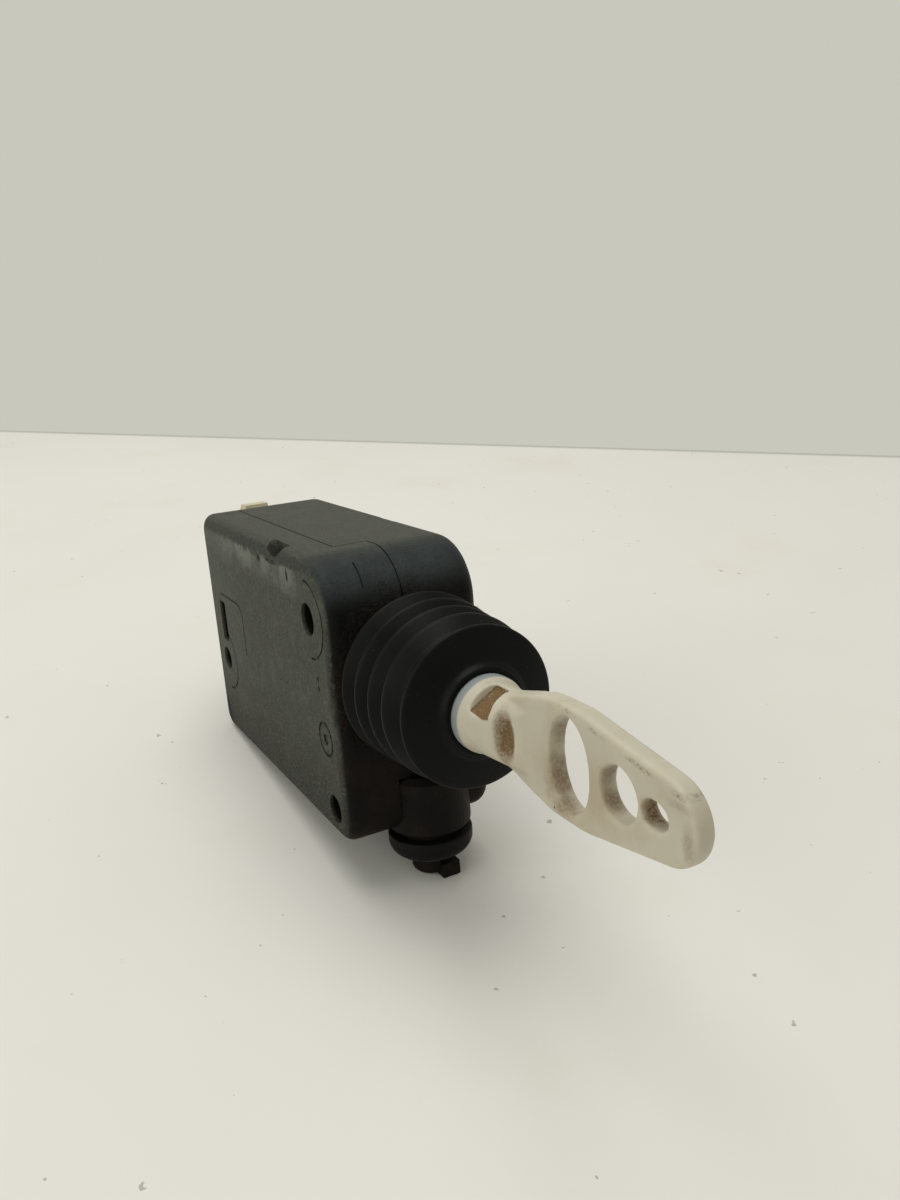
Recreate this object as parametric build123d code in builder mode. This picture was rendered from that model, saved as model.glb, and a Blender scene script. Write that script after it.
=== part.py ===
from build123d import *
import os
from math import acos, cos, pi, radians, sin, sqrt, tan

# Door latch actuator, in millimetres. A small motor drives a rack through one compound gear,
# and the rack pushes and pulls a moulded link end through a rubber boot.
# The origin is on the rod's line of travel, at the case's front face. +X points along the rod,
# out of the case, +Z is up, and the cover is on the -Y side.

# ---- Driving dimensions: case
case_length = 84.0
case_left = 17.2
case_right = 15.2
case_top = 24.0
case_bottom = 32.6
wall = 2.2
front_wall = 3.0
nose_radius = 11.6
corner_radius = 4.8
cover_edge_radius = 2.6
case_edge_radius = 3.6
seam_offset = 8.6
nose_seam_offset = 1.2
nose_seam_length = 15.5
seam_groove_width = 0.35
seam_groove_depth = 0.35
lip_height = 1.5
lip_thickness = 0.9
lip_clearance = 0.1
smallest_rounding = 0.5
inner_edge_radius = 0.6
window_rounding = 0.6
panel_rounding = 3.5
lip_cut_gap = 0.5
lip_nose_gap = 2.0
rib_thickness = 1.8
cradle_low_rise = 5.0
cradle_top_drop = 4.0
cradle_reach = 2.0
cradle_gap = 0.1
post_top_gap = 0.6
post_low_gap = 1.2
rail_gap = 0.1
rail_thickness = 1.6
rail_overlap = 2.5
stop_wall_margin = 1.5
rail_end_gap = 0.5

# ---- Driving dimensions: mounting holes, through the case along Y
upper_hole_x = -10.2
upper_hole_z = 11.9
upper_hole_radius = 3.3
upper_boss_radius = 5.2
lower_hole_x = -6.0
lower_hole_z = -26.2
lower_hole_radius = 2.9
lower_boss_radius = 4.6
rear_hole_inset = 9.4
rear_hole_z = -12.0
rear_hole_radius = 2.9
rear_boss_radius = 4.4
hole_pad_radius = 8.0
pad_groove_width = 0.5
pad_groove_depth = 0.3

# ---- Driving dimensions: outside details of the case
pocket_radius = 5.3
pocket_rise = 2.6
pocket_floor = 1.4
left_pocket_x = -28.0
right_pocket_x = -36.4
pocket_depth = 2.8
window_inset = 10.6
window_z = -2.0
window_width = 4.6
window_height = 10.2
window_depth = 1.5
panel_length = 16.8
panel_top_z = 5.1
panel_drop = 12.0
stamp_x = -7.2
stamp_z = -11.8
stamp_radius = 3.6
stamp_core_radius = 1.1
pit_radius = 0.5
pit_spots = ((-8.0, 0.4), (-8.0, -1.6))
witness_y = -8.6
witness_top = 22.4
witness_bottom = 18.2

# ---- Driving dimensions: locating peg under the nose
peg_x = -4.0
peg_y = 2.0
peg_boss_radius = 8.6
peg_boss_top = -21.0
peg_boss_drop = 0.8
peg_collar_radius = 6.6
peg_collar_drop = 1.4
peg_neck_radius = 3.6
peg_foot_radius = 4.3
peg_foot_drop = 4.3
peg_barb_length = 4.2
peg_barb_width = 4.0
peg_barb_height = 3.3
peg_barb_drop = 0.9
grommet_radius = 8.7
grommet_height = 4.8
grommet_rounding = 3.0
peg_shoulder_chamfer = 1.2
peg_rim_rounding = 0.8
peg_foot_rounding = 1.2
peg_barb_reach = 0.9
peg_barb_inset = 0.7
peg_barb_rounding = 0.6
peg_notch_gap = 0.5
peg_seam_gap = 0.1
grommet_rim_rounding = 0.5

# ---- Driving dimensions: rod and its guide
rod_radius = 3.0
rod_running_gap = 0.05
rod_tail_depth = 6.5
bush_radius = 5.4
bush_flange_radius = 6.8
bush_flange_thickness = 1.4
bush_length_inside = 6.5
guide_boss_radius = 8.6
neck_radius = 11.6
neck_lip_radius = 12.5
neck_length = 3.4
neck_lip_length = 1.1
stroke = 9.0

# ---- Driving dimensions: link end fitting
fitting_tail_x = 15.0
collar_radius = 6.9
collar_front_x = 28.6
collar_shoulder_x = 30.0
collar_shoulder_radius = 6.35
boot_groove_x = 24.6
boot_groove_width = 1.8
boot_groove_depth = 0.7
blade_thickness = 3.4
blade_root_x = 34.0
blade_root_half_height = 5.7
neck_end_x = 43.0
neck_half_height = 6.3
blade_wide_x = 56.0
blade_wide_radius = 9.5
blade_shoulder_x = 49.0
blade_tip_centre_x = 74.7
blade_tip_radius = 6.4
blade_edge_radius = 0.6
window_one_x = 53.3
window_one_half = (5.0, 7.7)
window_two_x = 65.1
window_two_half = (4.1, 4.2)
window_three_x = 72.7
window_three_half = (2.8, 2.1)
scallop_x = 38.6
scallop_floor_y = 2.1
scallop_radius = 12.0
scallop_tube = 2.4
neck_pocket_x = 33.0
neck_pocket_angle = 30.0
neck_pocket_floor = 4.7
neck_pocket_length = 4.6
neck_pocket_width = 6.4
rod_socket_depth = 12.0
section_gap = 0.1
neck_pocket_rounding = 0.8
shank_step = 1.7
shank_run = 1.6
shoulder_run = 1.6

# ---- Driving dimensions: boot
boot_root_radius = 14.6
boot_root_length = 1.9
boot_ridges = ((2.9, 17.0), (8.0, 16.6), (12.6, 16.1), (17.8, 15.8), (24.2, 15.2))
boot_valley_depth = 2.6
boot_wall = 1.1
boot_crest_rounding = 0.4
boot_lip_radius = 7.9
boot_lip_length = 1.4
boot_face_crown = 1.4
boot_fit_gap = 0.05
boot_neck_gap = 0.1
boot_crest_wall = 2.1
boot_lip_flare = 0.8
boot_lip_root = 1.2

# ---- Driving dimensions: gear train, on axes parallel to Z
pressure_angle = 20.0
backlash = 0.12
dedendum_share = 1.25
stub_share = 0.65
rack_addendum_share = 0.7
gear_axis_inset = 40.3
gear_axis_y = -1.1
wheel_teeth = 36
pinion_teeth = 10
train_module = 0.6
small_gear_teeth = 12
rack_module = 0.8
wheel_bottom = 6.0
wheel_thickness = 4.5
rack_half_width = 4.0
rack_bar_depth = 4.8
rack_tooth_gaps = 11
rack_rear_inset = 22.0
rack_head_length = 8.0
rack_head_side = 4.6
rack_head_half_height = 5.0
rod_pin_radius = 1.0
axle_radius = 1.5
axle_gap = 0.05
axle_low_run = 6.0
axle_high_run = 5.6
axle_boss_radius = 3.5
full_addendum_share = 1.0
tooth_sink = 0.1
flank_steps = 4
wheel_rim = 2.4
wheel_hub_ring = 1.2
wheel_recess = 1.5
hub_overrun = 0.9
hub_step = 0.3
pinion_overrun = 0.4
axle_chamfer = 0.25
head_chamfer = 0.8
rod_chamfer = 0.4
pin_chamfer = 0.2

# ---- Driving dimensions: motor, standing on its end bell
can_radius = 12.0
can_flat_width = 18.3
can_height = 25.0
can_wall = 0.9
can_bottom_z = -29.6
end_bell_height = 2.4
bearing_radius = 2.6
bearing_length = 2.4
motor_shaft_radius = 1.0
motor_shaft_gap = 0.04
magnet_height = 15.0
magnet_half_angle = 38.0
magnet_air_gap = 0.6
core_radius = 6.9
core_height = 10.0
core_slots = 3
slot_half_width = 2.1
slot_mouth = 0.9
winding_overhang = 1.8
winding_gap = 0.15
commutator_radius = 2.4
commutator_height = 3.2
brush_width = 1.8
brush_length = 3.0
brush_gap = 0.05
brush_arm_thickness = 0.4
strip_entry_rise = 0.8
can_rounding = 0.8
bearing_boss_wall = 0.7
brush_rise = 3.6
end_bell_rounding = 0.5
magnet_drop = 1.0
shaft_end_gap = 0.2
shaft_overrun = 1.5
shaft_chamfer = 0.2
winding_chamfer = 0.5
commutator_slot_depth = 0.4
commutator_slot_width = 0.3

# ---- Driving dimensions: connector, fasteners and stops
connector_y = -1.0
connector_z = 16.0
connector_width = 12.4
connector_height = 10.6
connector_depth = 12.0
connector_wall = 1.4
connector_floor = 3.0
connector_flange = 1.0
lock_ramp_width = 6.0
lock_ramp_height = 2.2
terminal_pitch = 5.0
terminal_width = 2.8
terminal_thickness = 0.8
terminal_reach = 4.4
terminal_tail = 6.4
strip_thickness = 0.6
strip_width = 2.2
strip_drop_gap = 1.4
screw_radius = 1.5
screw_head_radius = 3.0
screw_head_height = 2.2
screw_well_radius = 3.3
screw_seat_y = -1.4
screw_tip_gap = 1.0
screw_boss_radius = 4.9
rear_screw_inset = 6.6
rear_screw_z = -26.0
top_screw_inset = 24.0
top_screw_z = 18.4
front_screw_spots = ((-22.0, 17.6), (-22.0, -26.2))
bumper_length = 1.8
bumper_gap = 0.2
connector_rounding = 1.6
screw_clearance = 0.1
screw_head_chamfer = 0.7
drive_slot_length = 3.4
drive_slot_width = 0.7
drive_slot_depth = 1.1
lock_ramp_sink = 0.3
lock_ramp_start = 1.2
lock_ramp_rise = 3.2
lock_ramp_flat = 3.6
bumper_rod_gap = 0.4
bumper_inset = 0.5
bumper_rounding = 0.8
bumper_drop = 0.9

# ---- Sizes that follow from the driving dimensions
seam_y = -seam_offset
nose_seam_y = -nose_seam_offset
case_width = case_left + case_right
case_height = case_top + case_bottom
middle_y = (case_right - case_left) / 2
middle_z = (case_top - case_bottom) / 2
rear_x = -case_length
rear_hole_x = rear_x + rear_hole_inset
window_x = rear_x + window_inset
panel_front_x = window_x + panel_length
screw_spots = (
    (rear_x + top_screw_inset, top_screw_z),
    (rear_x + rear_screw_inset, rear_screw_z),
    *front_screw_spots,
)
pocket_z = case_top + pocket_rise
inner_left = -case_left + wall
gear_axis_x = rear_x + gear_axis_inset
rack_rear_x = rear_x + rack_rear_inset
wheel_radius = wheel_teeth * train_module / 2
pinion_radius = pinion_teeth * train_module / 2
small_gear_radius = small_gear_teeth * rack_module / 2
wheel_top = wheel_bottom + wheel_thickness
motor_x = gear_axis_x - wheel_radius - pinion_radius
motor_y = gear_axis_y
can_top_z = can_bottom_z + can_height
can_rim_z = can_bottom_z + end_bell_height
rack_pitch_y = gear_axis_y + small_gear_radius
rack_root_y = rack_pitch_y + dedendum_share * rack_module
rack_back_y = rack_root_y + rack_bar_depth
rack_tip_y = rack_pitch_y - rack_addendum_share * rack_module
rack_head_front_x = -bush_length_inside - bumper_length - bumper_gap - stroke
rack_head_rear_x = rack_head_front_x - rack_head_length
rod_tail_x = rack_head_front_x - rod_tail_depth
rod_nose_x = fitting_tail_x + rod_socket_depth
rod_pin_x = (rack_head_front_x + rod_tail_x) / 2
rear_stop_x = rack_rear_x - stroke - bumper_gap - bumper_length
peg_boss_bottom = -case_bottom - peg_boss_drop
grommet_top = peg_boss_bottom - peg_collar_drop
grommet_bottom = grommet_top - grommet_height
peg_foot_bottom = grommet_bottom - peg_foot_drop
axle_low = -rack_half_width - axle_low_run
axle_high = wheel_top + axle_high_run
connector_mouth_x = rear_x - connector_depth
connector_floor_x = rear_x + connector_floor - wall
screw_tip_y = inner_left + screw_tip_gap
far = 200.0

os.makedirs("parts", exist_ok=True)


def save(part, name):
    """Labels a finished piece and writes it as its own STEP file."""
    part.label = name
    export_step(part, f"parts/{name}.step")


# ---- Shared forms


def side_outline(inset):
    """The case's side outline in X and Z, set in by a wall: a big round nose, smaller corners."""
    with BuildSketch() as outline:
        with Locations((-case_length / 2, middle_z)):
            Rectangle(case_length - 2 * inset, case_height - 2 * inset)
        corners = outline.vertices().sort_by(lambda v: v.X + v.Y)
        fillet(corners[:-1], max(corner_radius - inset, smallest_rounding))
        nose = outline.vertices().sort_by(lambda v: v.X + v.Y)[-1]
        fillet(nose, max(nose_radius - inset, smallest_rounding))
    return outline.sketch


def case_form(inset, left_edge, right_edge):
    """The closed outer form of the case, set in by a wall, with its two long rims rounded."""
    with BuildPart() as form:
        with BuildSketch(Plane.XZ.offset(-case_right + inset)):
            add(side_outline(inset))
        extrude(amount=case_width - 2 * inset)
        fillet(form.faces().sort_by(Axis.Y)[0].edges(), left_edge)
        fillet(form.faces().sort_by(Axis.Y)[-1].edges(), right_edge)
    return form.part


def cover_zone(shift):
    """All the space on the cover's side of the stepped seam, with the seam moved outwards."""
    step_x = -nose_seam_length - shift
    with BuildPart() as zone:
        with BuildSketch(Plane.XY.offset(-far / 2)):
            with BuildLine():
                Polyline(
                    (-far, -far),
                    (far, -far),
                    (far, nose_seam_y + shift),
                    (step_x, nose_seam_y + shift),
                    (step_x, seam_y + shift),
                    (-far, seam_y + shift),
                    close=True,
                )
            make_face()
        extrude(amount=far)
    return zone.part


def bar_along_x(radius, start, end):
    """A round bar on the rod's line of travel."""
    with BuildPart() as bar:
        with BuildSketch(Plane.YZ.offset(start)):
            Circle(radius)
        extrude(amount=end - start)
    return bar.part


def posts_along_y(spots, radius, low, high):
    """Round posts along Y, from low to high, at each (x, z) spot."""
    with BuildPart() as posts:
        with BuildSketch(Plane.XZ.offset(-high)):
            with Locations(*spots):
                Circle(radius)
        extrude(amount=high - low)
    return posts.part


def motor_section(radius, flats):
    """A flat-sided round section on the motor's axis."""
    with BuildSketch() as section:
        with Locations((motor_x, motor_y)):
            Circle(radius)
            Rectangle(flats, 4 * radius, mode=Mode.INTERSECT)
    return section.sketch


def connector_form(inset, start, end):
    """The connector's rounded section as a block along X, set in by a wall."""
    with BuildPart() as form:
        with BuildSketch(Plane.YZ.offset(start)):
            with Locations((connector_y, connector_z)):
                RectangleRounded(
                    connector_width - 2 * inset,
                    connector_height - 2 * inset,
                    max(connector_rounding - inset, smallest_rounding),
                )
        extrude(amount=end - start)
    return form.part


# ---- Case: one closed form with bosses and ribs, later parted along the stepped seam

upper_hole = (upper_hole_x, upper_hole_z)
lower_hole = (lower_hole_x, lower_hole_z)
rear_hole = (rear_hole_x, rear_hole_z)
outer_form = case_form(0.0, cover_edge_radius, case_edge_radius)
inner_form = case_form(wall, inner_edge_radius, case_edge_radius - wall)

# Cradle for the motor, posts for the gear's axle, rails for the rack and the wall of its rear stop.
with BuildPart() as case_ribs:
    for level in (can_bottom_z + cradle_low_rise, can_top_z - cradle_top_drop):
        with BuildSketch(Plane.XY.offset(level)):
            with Locations((motor_x, middle_y)):
                Rectangle(2 * (can_radius + cradle_reach), case_width)
            add(motor_section(can_radius + cradle_gap, can_flat_width + 2 * cradle_gap), mode=Mode.SUBTRACT)
            with Locations((motor_x, seam_y)):
                Rectangle(2 * (can_radius + cradle_reach), motor_y - seam_y + can_radius / 2,
                          align=(Align.CENTER, Align.MIN), mode=Mode.SUBTRACT)
        extrude(amount=rib_thickness)
    with BuildSketch(Plane.XY.offset(wheel_top + post_top_gap)):
        with Locations((gear_axis_x, gear_axis_y)):
            Circle(axle_boss_radius)
    extrude(amount=case_top - wheel_top)
    with BuildSketch(Plane.XY.offset(-case_bottom)):
        with Locations((gear_axis_x, gear_axis_y)):
            Circle(axle_boss_radius)
        with Locations((gear_axis_x, (gear_axis_y + case_right) / 2)):
            Rectangle(rib_thickness, case_right - gear_axis_y)
    extrude(amount=case_bottom - rack_half_width - post_low_gap)
    with BuildSketch(Plane.YZ.offset(rear_stop_x)) as rails:
        with Locations((rack_back_y + rail_gap, 0)):
            Rectangle(case_right, rail_thickness, align=(Align.MIN, Align.CENTER))
        with Locations((rack_back_y - rail_overlap, rack_half_width + rail_gap)):
            Rectangle(case_right, rail_thickness, align=(Align.MIN, Align.MIN))
    extrude(amount=rack_head_rear_x - stroke - rail_end_gap - rear_stop_x)
    with BuildSketch(Plane.YZ.offset(rear_stop_x - rib_thickness)) as stop_wall:
        with Locations((rack_root_y - rail_end_gap, 0)):
            Rectangle(case_right, 2 * (rack_half_width + stop_wall_margin),
                      align=(Align.MIN, Align.CENTER))
    extrude(amount=rib_thickness)

with BuildPart() as case_inside:
    add(posts_along_y([upper_hole], upper_boss_radius, -case_left, case_right))
    add(posts_along_y([lower_hole], lower_boss_radius, -case_left, case_right))
    add(posts_along_y([rear_hole], rear_boss_radius, -case_left, case_right))
    add(posts_along_y(screw_spots, screw_boss_radius, -case_left, case_right))
    add(posts_along_y([(left_pocket_x, pocket_z)], pocket_radius + pocket_floor, -case_left,
                      -case_left + pocket_depth + pocket_floor))
    add(posts_along_y([(right_pocket_x, pocket_z)], pocket_radius + pocket_floor,
                      case_right - pocket_depth - pocket_floor, case_right))
    add(bar_along_x(guide_boss_radius, -bush_length_inside, 0))
    with Locations((-front_wall / 2, middle_y, middle_z)):
        Box(front_wall, case_width, case_height)
    add(case_ribs.part)
    add(outer_form, mode=Mode.INTERSECT)

with BuildPart() as whole_case:
    add(outer_form)
    add(inner_form, mode=Mode.SUBTRACT)
    add(case_inside.part)
    add(bar_along_x(neck_radius, -1, neck_length))
    add(bar_along_x(neck_lip_radius, neck_length - neck_lip_length, neck_length))
    add(bar_along_x(bush_radius, -bush_length_inside - 1, neck_length + 1), mode=Mode.SUBTRACT)
    flange_rear_x = -front_wall - bush_flange_thickness
    add(bar_along_x(bush_flange_radius, flange_rear_x, -front_wall), mode=Mode.SUBTRACT)
    add(connector_form(0.0, rear_x - 1, rear_x + wall + 1), mode=Mode.SUBTRACT)
    with Locations((gear_axis_x, gear_axis_y, (axle_low + axle_high) / 2)):
        Cylinder(axle_radius, axle_high - axle_low, mode=Mode.SUBTRACT)

# The three mounting bores, straight through both halves.
with BuildPart() as mounting_bores:
    for spot, radius in (
        (upper_hole, upper_hole_radius),
        (lower_hole, lower_hole_radius),
        (rear_hole, rear_hole_radius),
    ):
        add(posts_along_y([spot], radius, -far, far))

# The skin of the case where the two halves meet, cut away as a fine groove along the seam.
with BuildPart() as seam_skin:
    add(outer_form)
    add(case_form(seam_groove_depth, cover_edge_radius, case_edge_radius), mode=Mode.SUBTRACT)
    add(cover_zone(seam_groove_width / 2), mode=Mode.INTERSECT)
    add(cover_zone(-seam_groove_width / 2), mode=Mode.SUBTRACT)

# A short parting line left by the mould across the cover's nose.
with BuildPart() as nose_line:
    with Locations((0, witness_y, (witness_top + witness_bottom) / 2)):
        Box(2 * nose_radius, seam_groove_width, witness_top - witness_bottom)
    add(case_form(seam_groove_depth, cover_edge_radius, case_edge_radius), mode=Mode.SUBTRACT)

# A thin lip on the cover that registers inside the main case's wall, behind the nose.
with BuildPart() as cover_lip:
    with BuildSketch(Plane.XZ.offset(-seam_y - lip_height)):
        add(side_outline(wall + lip_clearance))
        add(side_outline(wall + lip_clearance + lip_thickness), mode=Mode.SUBTRACT)
        with Locations((0, middle_z)):
            Rectangle(2 * (nose_seam_length + lip_nose_gap), case_height, mode=Mode.SUBTRACT)
        with Locations((motor_x, -case_bottom)):
            Rectangle(can_flat_width + 2 * lip_cut_gap, 4 * wall, mode=Mode.SUBTRACT)
        with Locations((rear_x, connector_z)):
            flange_height = connector_height + 2 * (connector_flange + lip_cut_gap)
            Rectangle(4 * wall, flange_height, mode=Mode.SUBTRACT)
    extrude(amount=lip_height + 1)

with BuildPart() as lip_space:
    with BuildSketch(Plane.XZ.offset(-seam_y - lip_height - lip_clearance)):
        add(side_outline(wall))
        add(side_outline(wall + lip_thickness + 2 * lip_clearance), mode=Mode.SUBTRACT)
        with Locations((0, middle_z)):
            Rectangle(2 * (nose_seam_length + lip_nose_gap - lip_clearance), case_height,
                      mode=Mode.SUBTRACT)
    extrude(amount=lip_height + lip_clearance)

# The round boss, neck and barbed foot of the locating peg under the nose.
with BuildPart() as peg:
    with BuildSketch(Plane.XY.offset(peg_boss_bottom)):
        with Locations((peg_x, peg_y)):
            Circle(peg_boss_radius)
    extrude(amount=peg_boss_top - peg_boss_bottom)
    chamfer(peg.faces().sort_by(Axis.Z)[-1].edges(), peg_shoulder_chamfer)
    fillet(peg.faces().sort_by(Axis.Z)[0].edges(), peg_rim_rounding)
    with BuildSketch(Plane.XY.offset(grommet_top)):
        with Locations((peg_x, peg_y)):
            Circle(peg_collar_radius)
    extrude(amount=peg_collar_drop + peg_notch_gap)
    with BuildSketch(Plane.XY.offset(grommet_bottom)):
        with Locations((peg_x, peg_y)):
            Circle(peg_neck_radius)
    extrude(amount=grommet_height + peg_notch_gap)
    with BuildSketch(Plane.XY.offset(peg_foot_bottom)):
        with Locations((peg_x, peg_y)):
            Circle(peg_foot_radius)
    extrude(amount=peg_foot_drop)
    fillet(peg.faces().sort_by(Axis.Z)[0].edges(), peg_foot_rounding)
    barb_x = peg_x + peg_foot_radius + peg_barb_reach
    barb_y = peg_y + peg_foot_radius - peg_barb_inset
    barb_bottom = peg_foot_bottom - peg_barb_drop
    with BuildSketch(Plane.XY.offset(barb_bottom)):
        with Locations((barb_x, barb_y)):
            Rectangle(peg_barb_length, peg_barb_width, align=(Align.MAX, Align.MAX))
    extrude(amount=peg_barb_height)
    fillet(peg.faces().sort_by(Axis.Z)[0].edges(), peg_barb_rounding)
    notch_top = grommet_bottom - peg_notch_gap
    with BuildSketch(Plane.XY.offset(barb_bottom + peg_barb_height)):
        with Locations((barb_x + peg_notch_gap, barb_y + peg_notch_gap)):
            Rectangle(peg_barb_length, peg_barb_width + peg_notch_gap,
                      align=(Align.MAX, Align.MAX))
    extrude(amount=notch_top - barb_bottom - peg_barb_height, mode=Mode.SUBTRACT)

with BuildPart() as main_case:
    add(whole_case.part)
    add(cover_zone(0.0), mode=Mode.SUBTRACT)
    add(peg.part)
    add(seam_skin.part, mode=Mode.SUBTRACT)
    add(lip_space.part, mode=Mode.SUBTRACT)
    add(mounting_bores.part, mode=Mode.SUBTRACT)
    add(posts_along_y(screw_spots, screw_well_radius, screw_seat_y, far), mode=Mode.SUBTRACT)
    add(posts_along_y(screw_spots, screw_radius + screw_clearance, -far, far), mode=Mode.SUBTRACT)
    right_pocket = [(right_pocket_x, pocket_z)]
    add(posts_along_y(right_pocket, pocket_radius, case_right - pocket_depth, far),
        mode=Mode.SUBTRACT)
    flange_x = rear_x + wall
    add(connector_form(-connector_flange, flange_x, flange_x + 1), mode=Mode.SUBTRACT)
save(main_case.part, "main_case")

with BuildPart() as cover:
    add(whole_case.part)
    add(cover_zone(0.0), mode=Mode.INTERSECT)
    add(cover_lip.part)
    with Locations((peg_x, peg_y, (peg_boss_top + peg_boss_bottom) / 2)):
        Cylinder(peg_boss_radius + peg_seam_gap, peg_boss_top - peg_boss_bottom + 2 * peg_seam_gap,
                 mode=Mode.SUBTRACT)
    add(seam_skin.part, mode=Mode.SUBTRACT)
    add(nose_line.part, mode=Mode.SUBTRACT)
    add(mounting_bores.part, mode=Mode.SUBTRACT)
    add(posts_along_y(screw_spots, screw_radius, screw_tip_y, far), mode=Mode.SUBTRACT)
    left_pocket = [(left_pocket_x, pocket_z)]
    add(posts_along_y(left_pocket, pocket_radius, -far, -case_left + pocket_depth),
        mode=Mode.SUBTRACT)
    with BuildSketch(Plane.XZ.offset(case_left)):
        with Locations((window_x, window_z)):
            RectangleRounded(window_width, window_height, window_rounding)
    extrude(amount=-window_depth, mode=Mode.SUBTRACT)
    with BuildSketch(Plane.XZ.offset(case_left)):
        for spot in (upper_hole, rear_hole):
            with Locations(spot):
                Circle(hole_pad_radius)
                Circle(hole_pad_radius - pad_groove_width, mode=Mode.SUBTRACT)
                Rectangle(far, 3 * hole_pad_radius, align=(Align.MAX, Align.CENTER),
                          mode=Mode.SUBTRACT)
        with Locations((stamp_x, stamp_z)):
            Circle(stamp_radius)
            Circle(stamp_radius - pad_groove_width, mode=Mode.SUBTRACT)
            Circle(stamp_core_radius)
        with Locations(*pit_spots):
            Circle(pit_radius)
        with BuildLine() as panel_path:
            FilletPolyline(
                (window_x, panel_top_z),
                (panel_front_x, panel_top_z),
                (panel_front_x, panel_top_z - panel_drop),
                radius=panel_rounding,
            )
        trace(line_width=pad_groove_width)
    extrude(amount=-pad_groove_depth, mode=Mode.SUBTRACT)
save(cover.part, "cover")

# ---- Screws that draw the halves together, in wells on the main case's side

with BuildPart() as case_screws:
    with BuildSketch(Plane.XZ.offset(-screw_seat_y)):
        with Locations(*screw_spots):
            Circle(screw_radius)
    extrude(amount=screw_seat_y - screw_tip_y)
    with BuildSketch(Plane.XZ.offset(-screw_seat_y - screw_head_height)):
        with Locations(*screw_spots):
            Circle(screw_head_radius)
    extrude(amount=screw_head_height)
    chamfer(case_screws.faces().group_by(Axis.Y)[-1].edges(), screw_head_chamfer)
    with BuildSketch(Plane.XZ.offset(-screw_seat_y - screw_head_height)):
        with Locations(*screw_spots):
            Rectangle(drive_slot_length, drive_slot_width)
            Rectangle(drive_slot_width, drive_slot_length)
    extrude(amount=drive_slot_depth, mode=Mode.SUBTRACT)
save(case_screws.part, "case_screws")

# ---- Guide bush for the rod, clamped by its flange between the halves

with BuildPart() as rod_guide_bush:
    with BuildSketch():
        with BuildLine():
            Polyline(
                (-bush_length_inside, rod_radius + rod_running_gap),
                (neck_length, rod_radius + rod_running_gap),
                (neck_length, bush_radius),
                (-front_wall, bush_radius),
                (-front_wall, bush_flange_radius),
                (flange_rear_x, bush_flange_radius),
                (flange_rear_x, bush_radius),
                (-bush_length_inside, bush_radius),
                close=True,
            )
        make_face()
    revolve(axis=Axis.X)
save(rod_guide_bush.part, "rod_guide_bush")

# ---- Boot: a bellows that grips the neck at its root and the link end's groove at its lip


def boot_section():
    """Half section of the bellows: pleats outside, the same pleats one wall further in."""
    root_x = boot_fit_gap
    outer = [(root_x, boot_root_radius), (boot_root_length, boot_root_radius)]
    inner = [(neck_length + boot_neck_gap, neck_lip_radius + boot_fit_gap)]
    for place, (x, radius) in enumerate(boot_ridges):
        outer.append((x, radius))
        if place < len(boot_ridges) - 1:
            next_x, next_radius = boot_ridges[place + 1]
            valley_x = (x + next_x) / 2
            valley_radius = (radius + next_radius) / 2 - boot_valley_depth
            outer.append((valley_x, valley_radius))
            inner.append((valley_x, valley_radius - boot_wall))
            inner.append((next_x - boot_wall / 2, next_radius - boot_crest_wall))
    rim_x, rim_radius = boot_ridges[-1]
    lip_x = rim_x + boot_face_crown + boot_lip_length
    outer += [
        (rim_x + boot_face_crown, boot_lip_radius + boot_lip_flare),
        (lip_x, boot_lip_radius),
        (lip_x, collar_radius + boot_fit_gap),
        (boot_groove_x + boot_groove_width - boot_fit_gap, collar_radius + boot_fit_gap),
        (boot_groove_x + boot_groove_width - boot_fit_gap,
         collar_radius - boot_groove_depth + boot_fit_gap),
        (boot_groove_x + boot_fit_gap, collar_radius - boot_groove_depth + boot_fit_gap),
        (boot_groove_x + boot_fit_gap, collar_radius + boot_fit_gap),
    ]
    inner += [(boot_groove_x + boot_fit_gap, boot_lip_radius + boot_lip_root)]
    root = [
        (neck_length + boot_neck_gap, neck_lip_radius + boot_fit_gap),
        (neck_length - neck_lip_length - boot_fit_gap, neck_lip_radius + boot_fit_gap),
        (neck_length - neck_lip_length - boot_fit_gap, neck_radius + boot_fit_gap),
        (root_x, neck_radius + boot_fit_gap),
    ]
    with BuildSketch() as section:
        with BuildLine():
            Polyline(outer + inner[:0:-1] + root, close=True)
        make_face()
        crests = [v for v in section.vertices() if v.Y > boot_root_radius + boot_fit_gap]
        fillet(crests, boot_crest_rounding)
    return section.sketch


with BuildPart() as boot:
    add(boot_section())
    revolve(axis=Axis.X)
save(boot.part, "boot")

# ---- Rubber grommet on the peg's neck

with BuildPart() as peg_grommet:
    with BuildSketch(Plane.XZ.offset(-peg_y)):
        with Locations((peg_x, grommet_bottom)):
            Rectangle(grommet_radius, grommet_height, align=(Align.MIN, Align.MIN))
    revolve(axis=Axis((peg_x, peg_y, 0), (0, 0, 1)))
    fillet(peg_grommet.faces().sort_by(Axis.Z)[0].edges(), grommet_rounding)
    fillet(peg_grommet.faces().sort_by(Axis.Z)[-1].edges(), grommet_rim_rounding)
    with Locations((peg_x, peg_y, (grommet_top + grommet_bottom) / 2)):
        Cylinder(peg_neck_radius, grommet_height, mode=Mode.SUBTRACT)
save(peg_grommet.part, "peg_grommet")

# ---- Connector and its two blades

terminal_spots = [
    (connector_y - terminal_pitch / 2, connector_z),
    (connector_y + terminal_pitch / 2, connector_z),
]
terminal_tip_x = connector_floor_x - terminal_reach
terminal_tail_x = connector_floor_x + terminal_tail

with BuildPart() as connector_terminals:
    with BuildSketch(Plane.YZ.offset(terminal_tip_x)):
        with Locations(*terminal_spots):
            Rectangle(terminal_thickness, terminal_width)
    extrude(amount=terminal_tail_x - terminal_tip_x)
save(connector_terminals.part, "connector_terminals")

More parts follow.
